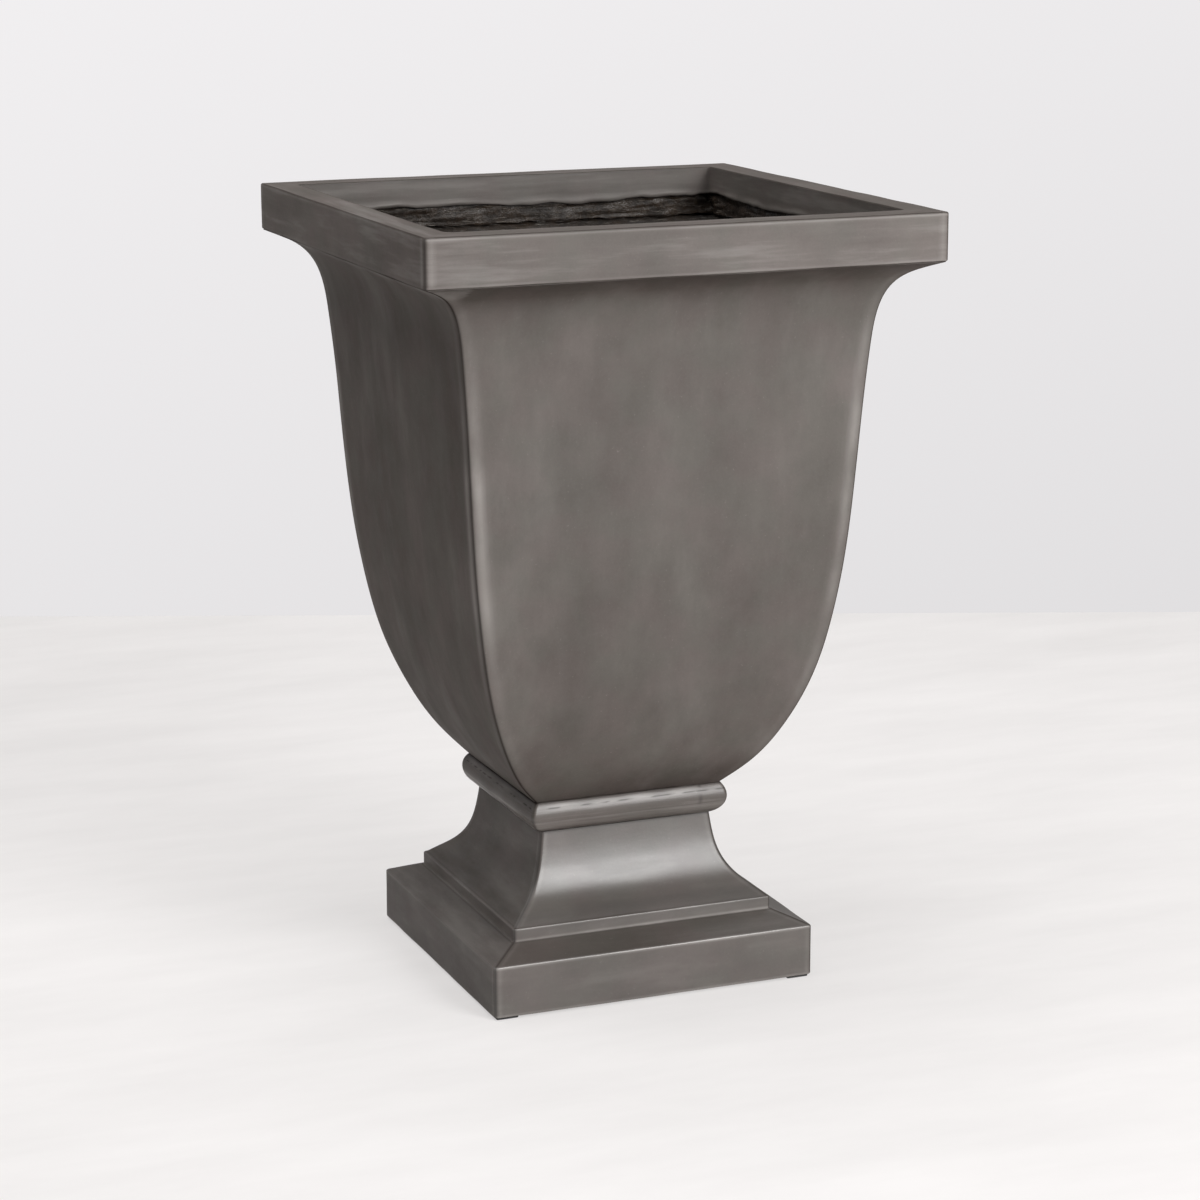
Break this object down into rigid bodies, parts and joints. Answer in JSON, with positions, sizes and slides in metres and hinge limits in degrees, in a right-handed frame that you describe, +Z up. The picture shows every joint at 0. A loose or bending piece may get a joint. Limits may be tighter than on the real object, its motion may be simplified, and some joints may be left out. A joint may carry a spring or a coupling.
{
  "type": "urn planter",
  "caption": "Square urn planter with an ogee bowl, flat channel rim, half-round collar and stepped hollow pedestal, bolted through the neck, with a lift-out drain plug.",
  "frame": {"origin": "middle of the square footprint, on the ground under the pads", "axes": "+Z up, X and Y square to the four sides"},
  "size_m": [0.51, 0.51, 0.758],
  "materials": {
    "patinated_laminate": "satin",
    "rough_laminate": "matte",
    "zinc_plated_steel": "satin",
    "black_rubber": "matte"
  },
  "bodies": {
    "planter": {"rim_frame": "patinated_laminate", "rim_bond_laminate": "rough_laminate", "bowl_shell": "patinated_laminate", "neck_collar": "patinated_laminate", "pedestal_shell": "patinated_laminate", "joint_bolts": "zinc_plated_steel", "joint_sealing_washers": "black_rubber", "joint_washers": "zinc_plated_steel", "joint_nuts": "zinc_plated_steel", "foot_pads": "black_rubber"},
    "drain_plug": {"drain_plug": "black_rubber"}
  },
  "joints": [
    {"name": "drain_plug_lift", "type": "slide", "parent": "planter", "child": "drain_plug", "axis": [0, 0, 1], "range_m": [0, 0.6]}
  ]
}
